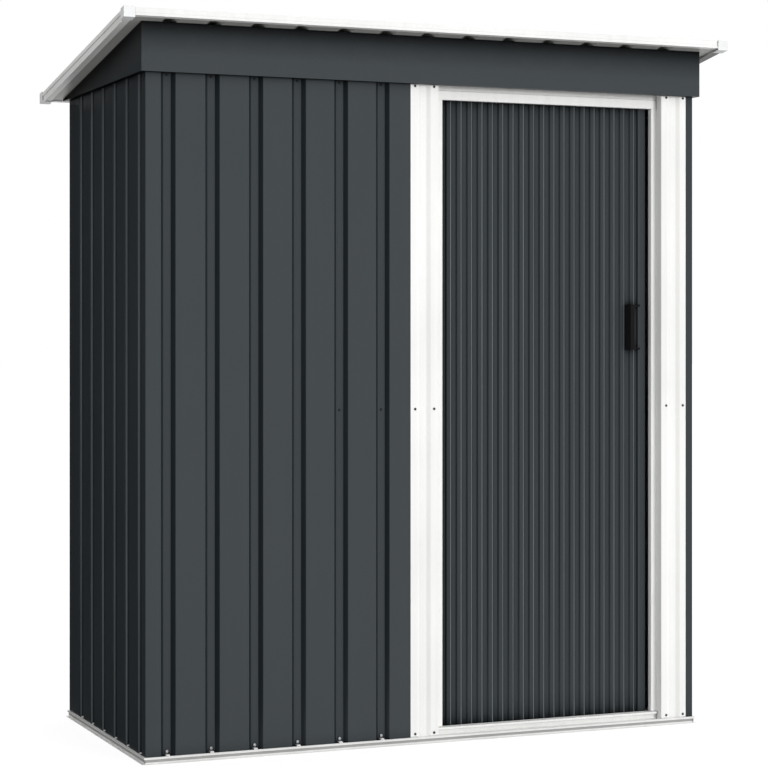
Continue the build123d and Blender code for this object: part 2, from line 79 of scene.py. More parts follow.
# %% [markdown]
# Shader graphs are easier to read when each node is one line. The first helper adds a node and
# fills its sockets, with a plain value or with the output of a node before it. The others are the
# few nodes that come back in every finish: a bit of arithmetic, a change of range, and the test
# that tells what is looked at from what only sends light on.

# %% One node, one line
def add_node(tree, kind, values=None, **attributes):
    """Adds a shader node, sets its attributes, and fills its sockets by name or number."""
    made = tree.nodes.new(kind)
    for name, value in attributes.items():
        setattr(made, name, value)
    for name, value in (values or {}).items():
        if isinstance(value, bpy.types.NodeSocket):
            tree.links.new(value, made.inputs[name])
        else:
            made.inputs[name].default_value = value
    return made


def maths(tree, operation, *values):
    """One Math node over the given values."""
    return add_node(tree, "ShaderNodeMath", dict(enumerate(values)), operation=operation).outputs[0]


def product(tree, first, second):
    """Two values multiplied."""
    return maths(tree, "MULTIPLY", first, second)


def remap(tree, value, low, high, start=0.0, end=1.0):
    """Maps the range from start to end onto low to high, and holds the ends beyond it."""
    values = {"Value": value, "From Min": start, "From Max": end, "To Min": low, "To Max": high}
    return add_node(tree, "ShaderNodeMapRange", values).outputs[0]


def seen_directly(tree):
    """1 for rays from the camera and for mirror and glass rays, 0 for scattered light."""
    path = add_node(tree, "ShaderNodeLightPath").outputs
    seen = maths(tree, "MAXIMUM", path["Is Camera Ray"], path["Is Glossy Ray"])
    return maths(tree, "MAXIMUM", seen, path["Is Transmission Ray"])


print("shader helpers ready")

# %% [markdown]
# Every mesh of this lesson is worked out as points and faces. One helper turns those into an
# object with its material and puts it in the scene.

# %% Points and faces into an object
def new_object(name, points, faces, material):
    """An object made from points and faces, with one material, linked into the scene."""
    mesh = bpy.data.meshes.new(name)
    mesh.from_pydata(points, [], faces)
    mesh.validate()
    mesh.materials.append(material)
    made = bpy.data.objects.new(name, mesh)
    scene.collection.objects.link(made)
    return made


def even_grey(value):
    """An opaque grey of one value."""
    return (value, value, value, 1)


print("mesh helper ready")

# %% [markdown]
# A product picture stands on a white sweep. The floor here is pale and scatters light like a real
# one, but what the camera sees of it is mostly plain white with a faint shadow left in. Inside the
# shed's own outline the floor is only lit, so that an open door shows a dim room and not a glow.

# %% Floor
floor_half = 60.0
floor_albedo = 0.50
glow_share = 0.84
shadow_share = 0.25
wall_low, wall_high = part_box("rear_wall")
front_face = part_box("front_wall")[0].y


def beyond(tree, value, low, high):
    """1 where a value lies outside the range from low to high, 0 within it."""
    off_middle = maths(tree, "SUBTRACT", value, (low + high) / 2)
    return maths(tree, "GREATER_THAN", maths(tree, "ABSOLUTE", off_middle), (high - low) / 2)


floor_paint = bpy.data.materials.new("pale_floor")
floor_paint.use_nodes = True
tree = floor_paint.node_tree
tree.nodes.clear()
floor_coords = add_node(tree, "ShaderNodeTexCoord").outputs["Object"]
place = add_node(tree, "ShaderNodeSeparateXYZ", {0: floor_coords}).outputs
beside = beyond(tree, place["X"], wall_low.x, wall_high.x)
before = beyond(tree, place["Y"], front_face, wall_high.y)
outside = maths(tree, "MAXIMUM", beside, before)
lit = add_node(tree, "ShaderNodeBsdfDiffuse", {"Color": even_grey(floor_albedo)})
shadowed = add_node(tree, "ShaderNodeBsdfDiffuse", {"Color": even_grey(shadow_share)})
glow = add_node(tree, "ShaderNodeEmission", {"Strength": glow_share})
white = add_node(tree, "ShaderNodeAddShader", {0: shadowed.outputs[0], 1: glow.outputs[0]})
shown = product(tree, seen_directly(tree), outside)
mixed = add_node(tree, "ShaderNodeMixShader", {0: shown, 1: lit.outputs[0], 2: white.outputs[0]})
add_node(tree, "ShaderNodeOutputMaterial", {"Surface": mixed.outputs[0]})

corner_signs = ((-1, -1), (1, -1), (1, 1), (-1, 1))
floor_corners = [(floor_half * x, floor_half * y, 0) for x, y in corner_signs]
floor = new_object("floor", floor_corners, [(0, 1, 2, 3)], floor_paint)
print("floor", 2 * floor_half, "m square")

# %% [markdown]
# The light is one large soft source, low at the front and a little to the right, so the white frame
# stays bright even where it steps back under the fascia. The rest is sky. It is brighter overhead,
# which keeps the roof white from above and the walls calm, and whatever looks straight at it, the
# camera or a mirror, sees plain white.

# %% Light
key_strength = 1.56
key_softness = math.radians(20)
key_side = math.radians(20)
key_height = math.radians(7)
key_distance = 8.0
sky_level = 0.48
sky_rise = 0.96
plain_white = 1.0

key_data = bpy.data.lights.new("key_light", "SUN")
key_data.energy = key_strength
key_data.angle = key_softness
key = bpy.data.objects.new("key_light", key_data)
level_share = math.cos(key_height)
key_across = math.sin(key_side) * level_share
key_forward = math.cos(key_side) * level_share
towards_key = Vector((key_across, -key_forward, math.sin(key_height)))
key.rotation_euler = (-towards_key).to_track_quat("-Z", "Y").to_euler()
key.location = towards_key * key_distance
key.visible_glossy = False
scene.collection.objects.link(key)

world = bpy.data.worlds.new("studio")
scene.world = world
world.use_nodes = True
tree = world.node_tree
towards = add_node(tree, "ShaderNodeTexCoord").outputs["Generated"]
height = add_node(tree, "ShaderNodeSeparateXYZ", {0: towards}).outputs["Z"]
overhead = product(tree, product(tree, height, height), sky_rise)
soft_sky = maths(tree, "ADD", overhead, sky_level)
sky = tree.nodes["Background"].inputs
tree.links.new(remap(tree, seen_directly(tree), soft_sky, plain_white), sky["Strength"])
sky["Color"].default_value = even_grey(plain_white)
print("key light from", tuple(round(v, 2) for v in towards_key))

# %% [markdown]
# Dark gloss paint shows mostly what it mirrors, so a photographer sets a dark card beside it. This
# one is two tall leaves at the left with a gap between them, so that the left wall still mirrors
# some sky, and a third leaf on the floor. Only reflections see the card and it throws no shadow:
# the groove sides that face it fall dark, and the light on the shed stays as it was.

# %% Dark card on the left
card_grey = 0.035
card_height = 5.0
card_gap = 0.002
card_edges = [(-0.5, 3.4), (-3.0, 1.4), (-3.1, 0.2), (-3.2, -2.4)]
card_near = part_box("base_rail_left")[0].x - card_gap

card_points = [(x, y, z) for x, y in card_edges for z in (card_gap, card_height)]
card_points += [(card_near, y, card_gap) for x, y in (card_edges[-1], card_edges[0])]
card_faces = [(0, 2, 3, 1), (4, 6, 7, 5), (0, 2, 6, 8, 9)]
card_cloth = bpy.data.materials.new("dark_cloth")
card_cloth.use_nodes = True
cloth = card_cloth.node_tree.nodes["Principled BSDF"].inputs
cloth["Base Color"].default_value = even_grey(card_grey)
cloth["Specular IOR Level"].default_value = 0
card = new_object("dark_card", card_points, card_faces, card_cloth)
card.visible_camera = False
card.visible_diffuse = False
card.visible_shadow = False
print("dark card with", len(card_faces), "leaves,", card_height, "m tall")

# %% [markdown]
# The wall sheets are rolled with one groove after another, and screws stand on the groove floors.
# The places of the grooves could be typed in again, but reading them from the sheets themselves
# keeps both in step: points that lie deepest belong to a groove floor, and each cluster of them is
# one groove.

# %% Grooves of the walls
sheet_thickness = 0.001
groove_gap = 0.04
level_slack = 0.0001


def clusters(values, gap):
    """Middles of groups of numbers that lie closer together than the gap."""
    values = sorted(values)
    groups = [[values[0]]]
    for value in values[1:]:
        if value - groups[-1][-1] > gap:
            groups.append([])
        groups[-1].append(value)
    return [(group[0] + group[-1]) / 2 for group in groups]


def corner_points(node):
    """All points of a node's mesh, one row each."""
    return np.array([v.co for v in nodes[node].data.vertices])


def groove_middles(node, depth_axis, inward):
    """Where the groove floors lie along a wall, and the level of their outer face."""
    points = corner_points(node)
    depths = points[:, depth_axis] * inward
    on_floor = depths > depths.max() - level_slack
    middles = clusters(points[on_floor, 1 - depth_axis], groove_gap)
    return middles, inward * (depths.max() - sheet_thickness)


# For each wall, the axis that its depth runs along and the sign that points inward
wall_depths = {"front_wall": (1, 1), "rear_wall": (1, -1), "left_wall": (0, 1), "right_wall": (0, -1)}
grooves = {}
for wall, (depth_axis, inward) in wall_depths.items():
    outward = Vector((0, 0, 0))
    outward[depth_axis] = -inward
    middles, floor_face = groove_middles(wall, depth_axis, inward)
    spots = []
    for middle in middles:
        spot = Vector((0, 0, 0))
        spot[depth_axis] = floor_face
        spot[1 - depth_axis] = middle
        spots.append(spot)
    grooves[wall] = (spots, outward)
    print(wall, len(spots), "grooves")

# %% [markdown]
# A fine pale line is painted along one bend of each side-wall groove and of each door rib. It is a
# painted highlight where the bend would catch the light. The lines repeat at the pitch of the
# sheet. So a finish needs only five facts: the axis that they repeat along, the first line, the
# pitch, a width and a tone.

# %% Painted highlights on the bends
groove_half = 0.016
# The painted highlight lines: their width and their tones
highlight_width = 0.0027
groove_highlight_tone = 0.14
rib_highlight_tone = 0.17
rounded_digits = 5


def pitch_of(places):
    """The even step of a row of places."""
    return (places[-1] - places[0]) / (len(places) - 1)


highlight_lines = {}
for wall in ("left_wall", "right_wall"):
    along = sorted(spot.y for spot in grooves[wall][0])
    highlight_lines[wall] = ("Y", along[0] + groove_half, pitch_of(along), highlight_width, groove_highlight_tone)

door_points = corner_points("door_panel")
on_rib = door_points[:, 1] < door_points[:, 1].min() + level_slack
rib_edges = sorted(set(np.round(door_points[on_rib, 0], rounded_digits)))
rib_ends = rib_edges[1::2]
rib_pitch = pitch_of(rib_ends)
highlight_lines["door_panel"] = ("X", rib_ends[0], rib_pitch, highlight_width, rib_highlight_tone)
print(len(rib_ends), "ribs on the door, every", round(1000 * rib_pitch, 2), "mm")

# %% [markdown]
# No sheet has one even tone. Noises at several scales carry the small changes, always in the
# object's own coordinates, so that a size in the shader is a size on the shed. Each finish below
# starts from these helpers: a new material, a noise, a value that sways with it, and a bump.

# %% Tools of every finish
noise_low, noise_high = 0.3, 0.7


def new_finish(name):
    """A material, its node tree, the sockets of its shader, and the object's coordinates."""
    material = bpy.data.materials.new(name)
    material.use_nodes = True
    tree = material.node_tree
    coords = add_node(tree, "ShaderNodeTexCoord").outputs
    return material, tree, tree.nodes["Principled BSDF"].inputs, coords


def noise(tree, place, scale, detail=2.0, stretch=None):
    """A noise with so many swells to the metre, stretched along the axes if need be."""
    if stretch is not None:
        place = add_node(tree, "ShaderNodeMapping", {"Vector": place, "Scale": stretch}).outputs[0]
    values = {"Vector": place, "Scale": scale, "Detail": detail}
    return add_node(tree, "ShaderNodeTexNoise", values).outputs[0]


def spread(tree, value, low, high):
    """Maps the middle part of a noise, where most of it lies, onto low to high."""
    return remap(tree, value, low, high, noise_low, noise_high)


def sway(tree, value, middle, reach):
    """Lets a noise move a value to either side of its middle."""
    return spread(tree, value, middle - reach, middle + reach)


def toned(tree, colour, tone):
    """A colour whose brightness follows the tone."""
    values = {"Color": (*colour, 1), "Value": tone}
    return add_node(tree, "ShaderNodeHueSaturation", values).outputs[0]


def mix_colours(tree, share, first, second):
    """The first colour where the share is 0, and the second where it is 1."""
    values = {0: share, 6: first, 7: second}
    return add_node(tree, "ShaderNodeMix", values, data_type="RGBA").outputs[2]


def bump(tree, height, strength, depth, under=None):
    """A bumped normal, laid over another one where there is one."""
    values = {"Height": height, "Strength": strength, "Distance": depth}
    if under is not None:
        values["Normal"] = under
    return add_node(tree, "ShaderNodeBump", values).outputs[0]


print("finish helpers ready")

# %% [markdown]
# The coat is painted darker where a fold, recess or overhang shuts it in. This is painted shade, because
# lamps alone hardly show that on dark paint. The Ambient Occlusion node says how open each point is to
# what surrounds it. Four numbers describe a fold: how far the node looks, how open its darkest
# point is, how dark the painted shade gets, and its curve between. Walls, white pieces, door and eaves
# differ.

# %% Shade in the folds
fold_samples = 6
open_sheet = 0.95
# Each fold: reach, shut, low, curve. Together they set how much painted shade darkens the coat
wall_fold = (0.05, 0.25, 0.35, 1.0)
white_fold = (0.004, 0.45, 0.40, 1.0)
door_fold = (0.07, 0.42, 0.12, 1.25)
eaves_fold = (0.085, 0.61, 0.04, 1.8)


def fold_shade(tree, fold):
    """Painted shade: 1 on open sheet, and less the more a fold shuts it in."""
    reach, shut, low, curve = fold
    around = add_node(tree, "ShaderNodeAmbientOcclusion", {"Distance": reach}, samples=fold_samples)
    shade = remap(tree, around.outputs["AO"], low ** (1 / curve), 1.0, shut, open_sheet)
    return maths(tree, "POWER", shade, curve)


print("folds shaded over", wall_fold[0], "m on walls and", eaves_fold[0], "m under the eaves")

# %% [markdown]
# Two more details lie on the paint. The painted highlight lines come from the pitch found above: a
# place along the sheet is divided by the pitch, and what is left after the whole number is compared
# with the middle. The back of a sheet takes a thin primed grey, or on the right roof trim a dark
# grey that is painted shade. The shader tells the two sides apart by the way each face points on
# the shed itself.

# %% Painted highlight lines, and primed or shaded backs
highlight_low = 0.6
step_middle = 0.5
highlight_shares = (0.88, 1.0, 1.08)
edge_on = -0.05


def paint_highlight_lines(tree, paint, place, breakup_noise, bends):
    """Paints pale highlight lines, broken up by a noise, over a paint."""
    axis, first, pitch, width, tone = bends
    along = add_node(tree, "ShaderNodeSeparateXYZ", {0: place}).outputs[axis]
    steps = maths(tree, "DIVIDE", maths(tree, "SUBTRACT", along, first - pitch / 2), pitch)
    on_line = maths(tree, "COMPARE", maths(tree, "FRACT", steps), step_middle, width / pitch / 2)
    painted_highlight = product(tree, on_line, spread(tree, breakup_noise, highlight_low, 1.0))
    highlight_colour = [tone * share for share in highlight_shares]
    return mix_colours(tree, painted_highlight, paint, (*highlight_colour, 1))


def primer_or_shade_back(tree, paint, primer_or_shade, normal, outward):
    """The paint on faces that point outward or stand edge-on, and the back tone on the others: a primed
    grey, or painted shade.
    """
    facing = add_node(tree, "ShaderNodeVectorMath", {0: normal, 1: outward}, operation="DOT_PRODUCT")
    painted = maths(tree, "GREATER_THAN", facing.outputs["Value"], edge_on)
    return mix_colours(tree, painted, primer_or_shade, paint)


print("worn lines", 1000 * highlight_width, "mm wide")

# %% [markdown]
# The sheets are steel with a baked powder coat. Up close such a coat has a fine orange-peel skin,
# its tone drifts a little over a sheet and runs in faint upright streaks, and thin sheet is never
# quite flat, so its reflections waver. Noises at those scales give that, in the tone, in the
# roughness and in two bumps. The painted shade in the folds darkens the gloss along with the tone.

# %% Powder coat
drift_scale, drift_detail, drift_sway = 2.6, 3.0, 0.05
streak_stretch, streak_sway = (46, 46, 1.1), 0.025
grain_scale, grain_sway = 620.0, 0.035
wave_stretch, wave_depth = (5, 5, 1.6), 0.004
skin_depth = 0.00015
bump_strength = 0.25
primer_grey = (0.50, 0.51, 0.51)


def powder_coat(name, colour, roughness, gloss, fold=wall_fold, outward=None, back=primer_grey, bends=None):
    """A baked coat with painted shade in its folds, a back of its own where outward is given, and painted
    highlight lines where bends are.
    """
    material, tree, shader, coords = new_finish(name)
    place = coords["Object"]
    drift = noise(tree, place, drift_scale, drift_detail)
    streaks = noise(tree, place, 1.0, stretch=streak_stretch)
    grain = noise(tree, place, grain_scale)
    # Painted shade: it darkens the tone, and further on the gloss, where folds shut the sheet in
    painted_shade = fold_shade(tree, fold)
    tone = product(tree, sway(tree, drift, 1, drift_sway), sway(tree, streaks, 1, streak_sway))
    tone = product(tree, product(tree, tone, sway(tree, grain, 1, grain_sway)), painted_shade)
    paint = toned(tree, colour, tone)
    # Painted highlight lines along one bend of each groove or rib
    if bends is not None:
        paint = paint_highlight_lines(tree, paint, place, streaks, bends)
    if outward is not None:
        paint = primer_or_shade_back(tree, paint, toned(tree, back, tone), coords["Normal"], outward)
    tree.links.new(paint, shader["Base Color"])
    tree.links.new(sway(tree, drift, roughness, drift_sway), shader["Roughness"])
    shader["Specular IOR Level"].default_value = gloss
    tree.links.new(product(tree, painted_shade, gloss), shader["Specular IOR Level"])
    waves = bump(tree, noise(tree, place, 1.0, 1.0, wave_stretch), bump_strength, wave_depth)
    tree.links.new(bump(tree, grain, bump_strength, skin_depth, waves), shader["Normal"])
    return material


print("powder coat with a grain of", round(1000 / grain_scale, 1), "mm")

# %% [markdown]
# The white pieces take three coats: a plain one, one for the roof sheets with a grey underside, and
# one for the right roof trim, whose downward faces, the lip under the roof, are painted near-black
# as painted shade. A direction that leans back a little with the slope sorts the roof's top from its
# underside.

# %% White coats
sheet_white = (0.925, 0.925, 0.91)
white_roughness, white_gloss = 0.40, 0.3
roof_up, roof_under = (0, 0.15, 1), (0.46, 0.46, 0.44)
# The dark grey below is painted shade on the right trim's downward faces
trim_up, lip_painted_shade = (0, 0, 1), (0.10, 0.098, 0.094)


def white_finish(name, *two_sided):
    """The white coat, with a direction and a back tone where it has two sides."""
    return powder_coat(name, sheet_white, white_roughness, white_gloss, white_fold, *two_sided)


white_coat = white_finish("white_coat")
roof_coat = white_finish("roof_coat", roof_up, roof_under)
backed_coats = {"roof_trim_right": white_finish("right_trim_coat", trim_up, lip_painted_shade)}
print("three white coats")

# %% [markdown]
# The dark pieces are anthracite, a blue-grey close to black. Each wall sheet has its own copy of
# the coat, because each has its own outward side and some have painted highlight lines. The door and
# the corner strip look a shade deeper than the walls, so their coat is painted darker and less
# glossy, as painted shade.

# %% Dark coats
anthracite = (0.0170, 0.0246, 0.0295)
dark_roughness, dark_gloss = 0.38, 0.56
# Painted shade: the door and the corner strip keep only these shares of colour and gloss
painted_shade_shares = {"door_panel": 0.82, "front_right_corner": 0.86}
outward_sides = {
    "front_wall": (0, -1, 0),
    "rear_wall": (0, 1, 0),
    "left_wall": (-1, 0, 0),
    "right_wall": (1, 0, 0),
    "front_right_corner": (0.7, -0.7, 0),
    "door_panel": (0, -1, 0),
}


def dark_finish(name, fold, share=1.0, **details):
    """The anthracite coat, with its colour and gloss held down to a share."""
    colour = [share * value for value in anthracite]
    return powder_coat(name, colour, dark_roughness, share * dark_gloss, fold, **details)


anthracite_coat = dark_finish("anthracite_coat", wall_fold)
# Painted shade under the eaves, for the fascias and gables
eaves_coat = dark_finish("eaves_coat", eaves_fold)
for node, side in outward_sides.items():
    fold = door_fold if node == "door_panel" else wall_fold
    share = painted_shade_shares.get(node, 1.0)
    bends = highlight_lines.get(node)
    backed_coats[node] = dark_finish(f"{node}_coat", fold, share, outward=side, bends=bends)
# Sheets with bends carry painted highlight lines
print(len(backed_coats), "two-sided sheets,", len(highlight_lines), "with painted highlight lines")

# %% [markdown]
# Rails, posts and tracks are galvanised: zinc sets in flat crystals a few millimetres wide, each
# of which mirrors the light a little differently. Voronoi cells have just that look, with random
# values for each cell that drive the tone, the roughness and a slight bump. The base rails are
# paler and more matt, and their upright web is painted darker between two heights, as painted
# shade between its two bright bends.

# %% Galvanised steel
crystals_per_metre = 130.0
zinc_drift_scale, zinc_drift_detail = 5.0, 3.0
zinc_drift_low, zinc_drift_high = 0.93, 1.05
zinc_smooth, zinc_dull = 0.36, 0.52
crystal_strength, crystal_depth = 0.08, 0.0003


def galvanised(name, colour, contrast=0.1, metal=0.85, web=None):
    """Zinc-coated steel, with its tone painted darker between two heights, as painted shade, where a web is
    given.
    """
    material, tree, shader, coords = new_finish(name)
    place = coords["Object"]
    crystals = add_node(tree, "ShaderNodeTexVoronoi", {"Vector": place, "Scale": crystals_per_metre})
    cell = add_node(tree, "ShaderNodeSeparateColor", {0: crystals.outputs["Color"]}).outputs
    drift = noise(tree, place, zinc_drift_scale, zinc_drift_detail)
    bright = remap(tree, cell[0], 1 - contrast, 1 + contrast)
    tone = product(tree, bright, spread(tree, drift, zinc_drift_low, zinc_drift_high))
    if web is not None:
        low, high, share = web
        height = add_node(tree, "ShaderNodeSeparateXYZ", {0: place}).outputs["Z"]
        on_web = maths(tree, "COMPARE", height, (low + high) / 2, (high - low) / 2)
        tone = product(tree, tone, remap(tree, on_web, 1.0, share))
    tree.links.new(toned(tree, colour, tone), shader["Base Color"])
    tree.links.new(remap(tree, cell[1], zinc_smooth, zinc_dull), shader["Roughness"])
    shader["Metallic"].default_value = metal
    tree.links.new(bump(tree, cell[2], crystal_strength, crystal_depth), shader["Normal"])
    return material


zinc_grey = (0.66, 0.67, 0.68)
rail_grey, rail_contrast, rail_metal = (0.84, 0.84, 0.83), 0.02, 0.3
# Painted shade on the rail's web: from this height, to this one, and the share of tone kept
rail_web_shade = (0.0050, 0.0118, 0.45)
zinc_coat = galvanised("zinc_coat", zinc_grey)
rail_coat = galvanised("rail_coat", rail_grey, rail_contrast, rail_metal, rail_web_shade)
print("zinc crystals about", round(1000 / crystals_per_metre), "mm wide")

# %% [markdown]
# The roof's corner caps, the pull handle, the glides and the screw washers are moulded. A spark-
# eroded mould leaves a dense fine grain, which a bump from a fine noise repeats.

# %% Moulded plastic
resin_drift_scale, resin_drift_detail, resin_drift_sway = 18.0, 3.0, 0.06
resin_grain_sway = 0.04
mould_strength = 0.4
mould_depth_share = 1 / 12


def moulded(name, colour, roughness, grain_size, gloss=0.5):
    """Plastic or rubber with a fine moulded grain."""
    material, tree, shader, coords = new_finish(name)
    place = coords["Object"]
    grain = noise(tree, place, 1 / grain_size)
    drift = noise(tree, place, resin_drift_scale, resin_drift_detail)
    tone = product(tree, sway(tree, drift, 1, resin_drift_sway), sway(tree, grain, 1, resin_grain_sway))
    tree.links.new(toned(tree, colour, tone), shader["Base Color"])
    tree.links.new(sway(tree, drift, roughness, resin_drift_sway), shader["Roughness"])
    shader["Specular IOR Level"].default_value = gloss
    skin = bump(tree, grain, mould_strength, grain_size * mould_depth_share)
    tree.links.new(skin, shader["Normal"])
    return material


cap_white, handle_black, nylon_grey = (0.895, 0.905, 0.91), (0.006, 0.006, 0.007), (0.45, 0.46, 0.47)
cap_plastic = moulded("cap_plastic", cap_white, roughness=0.42, grain_size=0.0012)
handle_plastic = moulded("handle_plastic", handle_black, roughness=0.5, grain_size=0.0009, gloss=0.12)
glide_nylon = moulded("glide_nylon", nylon_grey, roughness=0.5, grain_size=0.0015)
print("three moulded finishes")

# %% [markdown]
# Each node of the frame names the slot it takes its finish from, so the finishes go on by slot. The
# exceptions are the two-sided sheets with their own coats, the base rails, the roof sheets, and the
# fascias and gables, whose coat paints in the shade of the eaves.

# %% Finishes on the frame
slot_finishes = {
    "anthracite_steel": anthracite_coat,
    "white_steel": white_coat,
    "galvanised_steel": zinc_coat,
    "white_plastic": cap_plastic,
    "black_plastic": handle_plastic,
    "grey_nylon": glide_nylon,
}
family_finishes = {
    "base_rail": rail_coat,
    "roof_sheet": roof_coat,
    "front_fascia": eaves_coat,
    "rear_fascia": eaves_coat,
    "gable": eaves_coat,
}
for part in frame["record"]["subparts"]:
    name = part["node"]
    finish = backed_coats.get(name, slot_finishes[part["material_slot"]])
    for family, family_finish in family_finishes.items():
        if name.startswith(family):
            finish = family_finish
    nodes[name].data.materials.clear()
    nodes[name].data.materials.append(finish)

# %% [markdown]
# Screw heads and washers are small turned forms. Each could be a curve with a screw modifier, but
# rings of points round an axis are as short to write, and they leave the top ring at hand, which
# the screw's recess has to join.

# %% Rings round an axis
ring_steps = 20


def rings(radius, height, shares):
    """Points and faces of rings round Z, from shares of a radius and a height going upwards."""
    points, faces = [], []
    for radius_share, height_share in shares:
        for step in range(ring_steps):
            turn = 2 * math.pi * step / ring_steps
            reach = radius * radius_share
            points.append((reach * math.cos(turn), reach * math.sin(turn), height * height_share))
    for ring in range(len(shares) - 1):
        low = ring * ring_steps
        high = low + ring_steps
        for step in range(ring_steps):
            after = (step + 1) % ring_steps
            faces.append((low + step, low + after, high + after, high + step))
    return points, faces


print(ring_steps, "points in a ring")

# %% [markdown]
# The cross could be cut out by a boolean, but dozens of small booleans are slow and leave ragged
# meshes. So the top ring of the dome runs into the outline of the cross point by point, and the
# cross goes down to a smaller copy of itself, which is the floor of the recess.

# %% One screw head
head_shares = [(1.0, 0.0), (1.0, 0.28), (0.94, 0.55), (0.82, 0.78), (0.62, 1.0)]
arm_share, slit_share = 0.46, 0.13
recess_floor_share, recess_taper_share = 0.30, 0.7


def cross_outline(radius):
    """The twelve corners of the cross recess, going round."""
    arm, slit = radius * arm_share, radius * slit_share
    outline = []
    for quarter in range(4):
        turn = Matrix.Rotation(math.pi / 2 * quarter, 2)
        for corner in (Vector((slit, slit)), Vector((slit, arm)), Vector((-slit, arm))):
            outline.append(turn @ corner)
    return outline


def screw_head(radius, height):
    """A domed head whose flat top ring runs into a cross-shaped recess."""
    points, faces = rings(radius, height, head_shares)
    outline = cross_outline(radius)
    count = len(outline)
    top = len(points) - ring_steps
    cross = len(points)
    deep = cross + count
    points += [(p.x, p.y, height) for p in outline]
    floor_level = height * recess_floor_share
    points += [(p.x * recess_taper_share, p.y * recess_taper_share, floor_level) for p in outline]
    # The flat between the round rim and the cross: each rim step joins its nearest cross corner
    nearest = []
    for step in range(ring_steps):
        rim = Vector(points[top + step][:2])
        nearest.append(min(range(count), key=lambda index: (outline[index] - rim).length))
    for step in range(ring_steps):
        after = (step + 1) % ring_steps
        here, there = nearest[step], nearest[after]
        faces.append((top + step, top + after, cross + there))
        while here != there:
            follow = (here + 1) % count
            faces.append((top + step, cross + follow, cross + here))
            here = follow
    for index in range(count):
        after = (index + 1) % count
        faces.append((cross + index, cross + after, deep + after, deep + index))
    faces.append(tuple(range(deep, deep + count)))
    return points, faces


zinc_head = screw_head(radius=0.0041, height=0.0024)
dark_head = screw_head(radius=0.0031, height=0.0018)
print("one head has", len(zinc_head[0]), "points")

# %% [markdown]
# A washer is a low ring with a rounded rim, made from the same rings. The tongues of the base rails
# are small upright tabs with cut corners, and the drip edge further on is a folded strip. Both are
# one outline carried straight on, so they share a helper.

# %% Washers and tongues
washer_shares = [(1.0, 0.0), (1.0, 0.4), (0.93, 0.8), (0.80, 1.0), (0.30, 1.0)]
washer_radius, washer_height = 0.0050, 0.0012
tongue_chamfer_share = 0.35


def carried_on(outlines):
    """Points and faces of a bar between two copies of an outline: two ends and the sides."""
    count = len(outlines[0])
    faces = [tuple(reversed(range(count))), tuple(range(count, 2 * count))]
    for index in range(count):
        after = (index + 1) % count
        faces.append((index, after, count + after, count + index))
    return outlines[0] + outlines[1], faces


def tongue(width, height, thickness):
    """A small upright tab with its foot at the origin, standing out along Z."""
    half, chamfer = width / 2, height * tongue_chamfer_share
    outline = [(-half, 0), (half, 0), (half, height - chamfer), (half - chamfer, height)]
    outline += [(chamfer - half, height), (-half, height - chamfer)]
    return carried_on([[(x, y, z) for x, y in outline] for z in (0, thickness)])


soft_washer = rings(washer_radius, washer_height, washer_shares)
print("one washer has", len(soft_washer[0]), "points")

# %% [markdown]
# A screw stands on a sheet, so each place needs a point and the way out of the sheet. The copies of
# one kind are joined into one mesh, which leaves few objects. Each is turned about its own axis by
# the golden angle: neat enough for a kit, but no two crosses line up.

# %% Copies on the sheets
golden_turn = math.pi * (3 - math.sqrt(5))


def screwed_on(name, form, places, finish, turn_step=golden_turn):
    """One joined mesh of a form, at each (point, outward direction), that rides on the shed."""
    form_points, form_faces = form
    points, faces = [], []
    for index, (spot, outward) in enumerate(places):
        turn = outward.to_track_quat("Z", "Y").to_matrix().to_4x4()
        move = Matrix.Translation(spot) @ turn @ Matrix.Rotation(turn_step * index, 4, "Z")
        start = len(points)
        points += [move @ Vector(p) for p in form_points]
        faces += [tuple(start + corner for corner in face) for face in form_faces]
    piece = new_object(name, points, faces, finish)
    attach(piece, "shed")
    print(name, len(places), "copies,", len(faces), "faces")


def on_washers(places):
    """The same places, lifted by the height of a washer."""
    return [(spot + outward * washer_height, outward) for spot, outward in places]


print("copies turned by", round(math.degrees(golden_turn), 1), "degrees each")

# %% [markdown]
# Along the foot of the walls, a tongue of the base rail stands up in every groove, and over it sits
# a zinc screw on a rubber washer. The tongues stand out almost to the face of the wall, so they
# show from the side as well.

# %% Feet of the walls
foot_level = 0.0262
tongue_width, tongue_height = 0.0095, 0.0032
rail_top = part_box("base_rail_front")[1].z
tongue_reach = grooves["front_wall"][0][0].y - front_face - sheet_thickness


def along_walls(level):
    """A place in every groove of every wall, at one height."""
    places = []
    for spots, outward in grooves.values():
        places += [(spot + Vector((0, 0, level)), outward) for spot in spots]
    return places


screw_grey, rubber_black = (0.60, 0.61, 0.62), (0.02, 0.02, 0.02)
zinc_screws = galvanised("zinc_screws", screw_grey)
rubber = moulded("rubber", rubber_black, roughness=0.6, grain_size=0.0008, gloss=0.2)
rail_tongue = tongue(tongue_width, tongue_height, tongue_reach)
feet = along_walls(foot_level)
screwed_on("rail_tabs", rail_tongue, along_walls(rail_top), rail_coat, 0.0)
screwed_on("foot_washers", soft_washer, feet, rubber)
screwed_on("foot_screws", zinc_head, on_washers(feet), zinc_screws)

# %% [markdown]
# Near the top of the walls every groove has a dark screw, just under the fascia. At half height
# the front wall shows one only in the two grooves beside the doorway, where its brace ends, and the
# other walls in their first and last groove.

# %% Screws of the walls
head_drop = 0.0045
head_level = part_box("front_fascia")[0].z - head_drop
brace_low, brace_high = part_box("front_brace")
brace_level = (brace_low.z + brace_high.z) / 2

